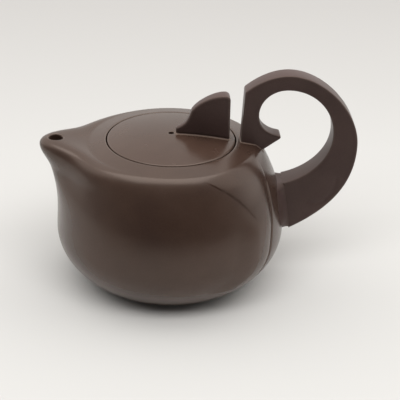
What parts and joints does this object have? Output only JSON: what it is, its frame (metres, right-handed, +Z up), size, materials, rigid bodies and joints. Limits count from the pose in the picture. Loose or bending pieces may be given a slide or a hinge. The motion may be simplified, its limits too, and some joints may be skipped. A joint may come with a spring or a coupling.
{
  "type": "clay teapot",
  "caption": "Squat round clay teapot with a short beak spout, a flush lift-off lid with a fin knob, and a strap handle that curls over and down to the shoulder.",
  "frame": {"origin": "centre of the flat foot, on the table", "axes": "+Z up along the pot's axis, +X towards the handle, -X towards the spout"},
  "size_m": [0.1576, 0.114, 0.1125],
  "materials": {
    "clay_wall": "unglazed, burnished, soft sheen",
    "clay_lid": "unglazed, burnished, soft sheen",
    "clay_handle": "unglazed, smoothed",
    "clay_knob": "unglazed, smoothed",
    "clay_inside": "unglazed, as turned"
  },
  "bodies": {
    "pot": {"base_disc": "clay_wall", "body_wall": "clay_wall", "shoulder_plate": "clay_wall", "lid_seat": "clay_inside", "spout": "clay_wall", "strainer": "clay_inside", "handle_loop": "clay_handle", "handle_hook": "clay_handle", "handle_saddle": "clay_handle"},
    "lid_ring": {"lid_flange": "clay_inside"},
    "lid": {"lid_plate": "clay_lid", "lid_knob": "clay_knob"}
  },
  "joints": [
    {"name": "lid_lift", "type": "slide", "parent": "pot", "child": "lid_ring", "axis": [0, 0, 1], "range_m": [0, 0.06]},
    {"name": "lid_turn", "type": "hinge", "parent": "lid_ring", "child": "lid", "pos_m": [0, 0, 0.0775], "axis": [0, 0, 1], "continuous": true}
  ]
}
